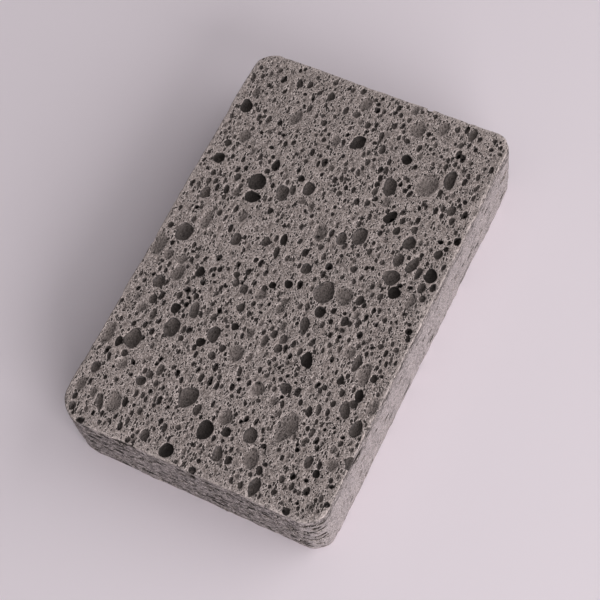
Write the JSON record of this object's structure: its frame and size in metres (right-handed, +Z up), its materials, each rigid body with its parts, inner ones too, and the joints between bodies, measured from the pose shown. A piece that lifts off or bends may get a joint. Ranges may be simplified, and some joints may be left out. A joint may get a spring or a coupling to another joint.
{
  "type": "cleaning sponge",
  "caption": "Flat grey sponge block with round corners and open cells of mixed sizes, for washing and wiping.",
  "frame": {"origin": "middle of the underside, on the surface that the block lies on", "axes": "+Y along the block's length, +X across its width, +Z up through its thickness"},
  "size_m": [0.07, 0.11, 0.02],
  "materials": {
    "sponge": "matte, open-celled, grey all through"
  },
  "bodies": {
    "root": {"sponge": "sponge"}
  },
  "joints": []
}
